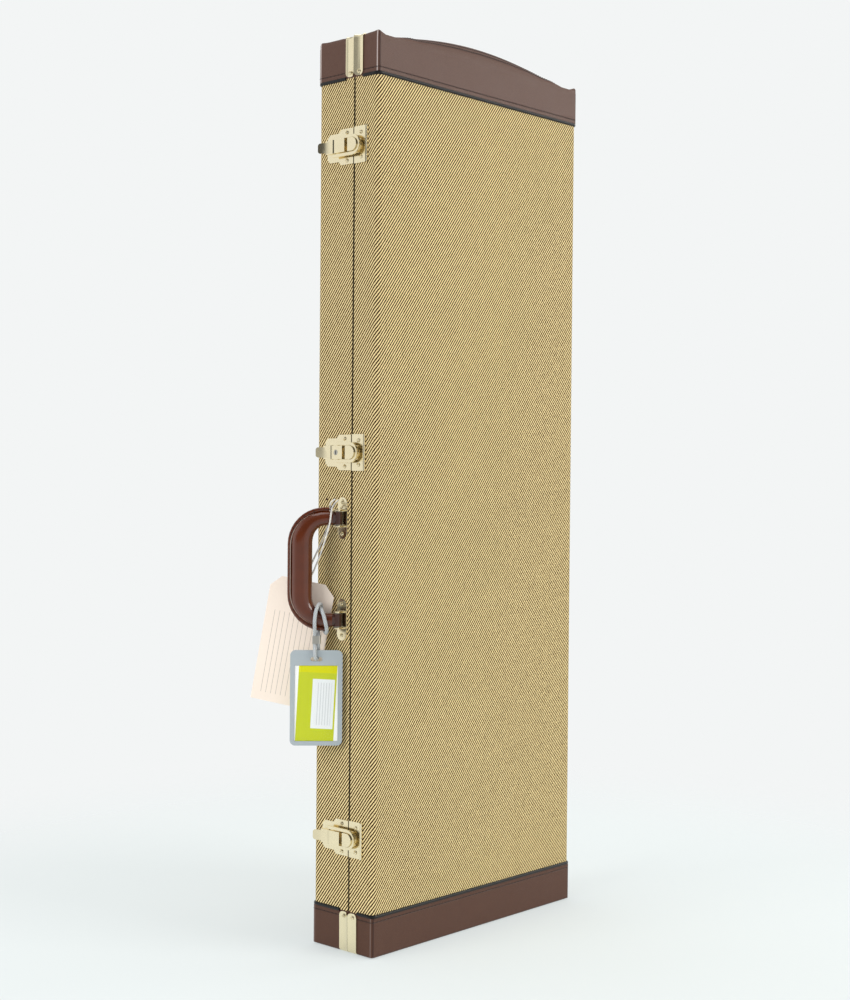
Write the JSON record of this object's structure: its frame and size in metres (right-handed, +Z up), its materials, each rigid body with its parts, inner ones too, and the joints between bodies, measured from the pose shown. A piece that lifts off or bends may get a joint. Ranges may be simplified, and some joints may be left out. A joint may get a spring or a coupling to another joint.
{
  "type": "guitar case",
  "caption": "Upright rectangular hard-shell guitar case in striped tweed with leather ends, drawbolt latches, a swinging side handle, hinged lid, hang tags and a plush-lined, padded inside.",
  "frame": {"origin": "middle of the foot end's face, on the floor the case stands on", "axes": "+Z up along the case's length to the head end, +Y from the lid to the base's back, +X from the latch side to the hinge side"},
  "size_m": [0.4149, 0.1443, 1.029],
  "materials": {
    "plywood": "raw plywood, covered",
    "tweed": "woven diagonal-stripe tweed, lacquered",
    "brown_leather": "soft gloss",
    "black_piping": "satin",
    "pale_gold": "polished",
    "steel": "satin",
    "plush": "short pile plush",
    "handle_leather": "gloss",
    "paper": "matt paper",
    "clear_sleeve": "clear film",
    "card": "matt card",
    "grey_cord": "braided",
    "white_string": "twisted cotton",
    "crimp": "satin",
    "ribbon": "woven ribbon"
  },
  "bodies": {
    "case": {"base_face_panel": "plywood", "base_latch_side_board": "plywood", "base_hinge_side_board": "plywood", "base_foot_board": "plywood", "base_head_board": "plywood", "base_tweed": "tweed", "base_leather_bands": "brown_leather", "base_foot_cap": "brown_leather", "base_head_cap": "brown_leather", "base_piping": "black_piping", "base_guards": "pale_gold", "base_lining": "plush", "base_hinge_leaves": "pale_gold", "base_screws": "pale_gold", "foot_bolster": "plush", "waist_bolsters": "plush", "neck_rest": "plush", "head_rest": "plush", "filler_block": "plush", "accessory_box": "plush", "hinge_pins": "steel", "latch_plates": "pale_gold", "lever_pins": "steel", "handle_brackets": "pale_gold"},
    "lid": {"lid_face_panel": "plywood", "lid_latch_side_board": "plywood", "lid_hinge_side_board": "plywood", "lid_foot_board": "plywood", "lid_head_board": "plywood", "lid_tweed": "tweed", "lid_leather_bands": "brown_leather", "lid_foot_cap": "brown_leather", "lid_head_cap": "brown_leather", "lid_piping": "black_piping", "lid_guards": "pale_gold", "lid_lining": "plush", "lid_hinge_leaves": "pale_gold", "lid_screws": "pale_gold", "lid_foam": "plush", "keepers": "pale_gold"},
    "pocket_lid": {"accessory_lid": "plush", "accessory_tab": "ribbon"},
    "handle": {"handle_core": "steel", "handle_grip": "handle_leather", "paper_tag": "paper", "tag_sleeve": "clear_sleeve", "tag_card": "card", "tag_loop": "grey_cord", "tag_crimp": "crimp", "tag_string": "white_string"},
    "foot_latch_lever": {"foot_lever": "pale_gold"},
    "foot_latch_bail": {"foot_bail": "pale_gold"},
    "middle_latch_lever": {"middle_lever": "pale_gold"},
    "middle_latch_bail": {"middle_bail": "pale_gold"},
    "head_latch_lever": {"head_lever": "pale_gold"},
    "head_latch_bail": {"head_bail": "pale_gold"},
    "lock": {"lock_plug": "steel"}
  },
  "joints": [
    {"name": "lid_hinge", "type": "hinge", "parent": "case", "child": "lid", "pos_m": [0.1808, -0.01, 0.508], "axis": [0, 0, 1], "range_deg": [0, 100]},
    {"name": "pocket_lid_hinge", "type": "hinge", "parent": "case", "child": "pocket_lid", "pos_m": [0.1638, 0.0002, 0.583], "axis": [0, 0, 1], "range_deg": [0, 86]},
    {"name": "handle_swing", "type": "hinge", "parent": "case", "child": "handle", "pos_m": [-0.1859, 0.003, 0.4268], "axis": [0, 0, 1], "range_deg": [-20, 110]},
    {"name": "foot_lever_lift", "type": "hinge", "parent": "case", "child": "foot_latch_lever", "pos_m": [-0.1836, -0.001, 0.1273], "axis": [0, 0, 1], "range_deg": [0, 110]},
    {"name": "foot_bail_swing", "type": "hinge", "parent": "foot_latch_lever", "child": "foot_latch_bail", "pos_m": [-0.1836, 0.015, 0.1273], "axis": [0, 0, 1], "range_deg": [-90, 0]},
    {"name": "middle_lever_lift", "type": "hinge", "parent": "case", "child": "middle_latch_lever", "pos_m": [-0.1836, -0.001, 0.55626], "axis": [0, 0, 1], "range_deg": [0, 110]},
    {"name": "middle_bail_swing", "type": "hinge", "parent": "middle_latch_lever", "child": "middle_latch_bail", "pos_m": [-0.1836, 0.015, 0.55626], "axis": [0, 0, 1], "range_deg": [-90, 0]},
    {"name": "head_lever_lift", "type": "hinge", "parent": "case", "child": "head_latch_lever", "pos_m": [-0.1836, -0.001, 0.895], "axis": [0, 0, 1], "range_deg": [0, 110]},
    {"name": "head_bail_swing", "type": "hinge", "parent": "head_latch_lever", "child": "head_latch_bail", "pos_m": [-0.1836, 0.015, 0.895], "axis": [0, 0, 1], "range_deg": [-90, 0]},
    {"name": "lock_turn", "type": "hinge", "parent": "middle_latch_lever", "child": "lock", "pos_m": [-0.1864, 0.0055, 0.55626], "axis": [1, 0, 0], "range_deg": [0, 90]}
  ],
  "couplings": [
    {"joint": "pocket_lid_hinge", "follows": "lid_hinge", "ratio": 0.85},
    {"joint": "foot_bail_swing", "follows": "foot_lever_lift", "ratio": -0.78},
    {"joint": "middle_bail_swing", "follows": "middle_lever_lift", "ratio": -0.78},
    {"joint": "head_bail_swing", "follows": "head_lever_lift", "ratio": -0.78}
  ]
}
